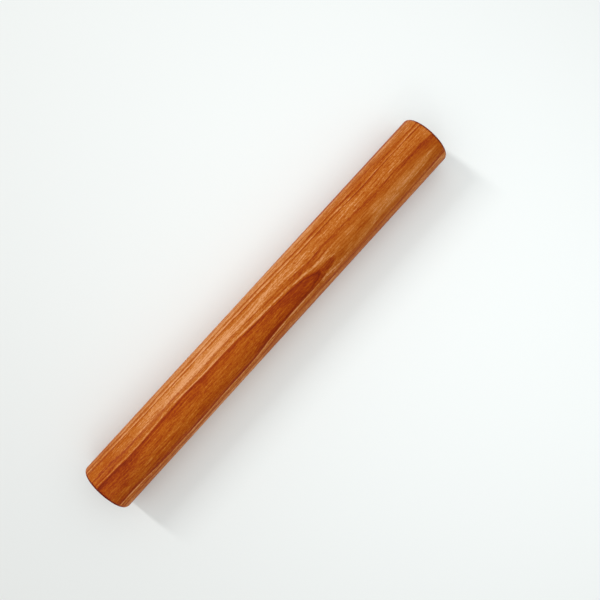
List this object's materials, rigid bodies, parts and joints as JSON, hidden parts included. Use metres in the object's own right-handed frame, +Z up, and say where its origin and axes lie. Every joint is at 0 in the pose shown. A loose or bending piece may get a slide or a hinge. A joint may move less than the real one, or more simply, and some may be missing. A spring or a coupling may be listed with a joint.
{
  "type": "french rolling pin",
  "caption": "Straight handle-less rolling pin: a plain round wooden barrel with flat ends and rounded-over rims.",
  "frame": {"origin": "on the surface the pin lies on, under the middle of the barrel", "axes": "+X along the pin's own axis, towards its right end; +Z up, away from the surface it lies on; +Y square to both"},
  "size_m": [0.4318, 0.0508, 0.0508],
  "materials": {
    "cherry_wood": "satin"
  },
  "bodies": {
    "root": {"rolling_pin": "cherry_wood"}
  },
  "joints": []
}
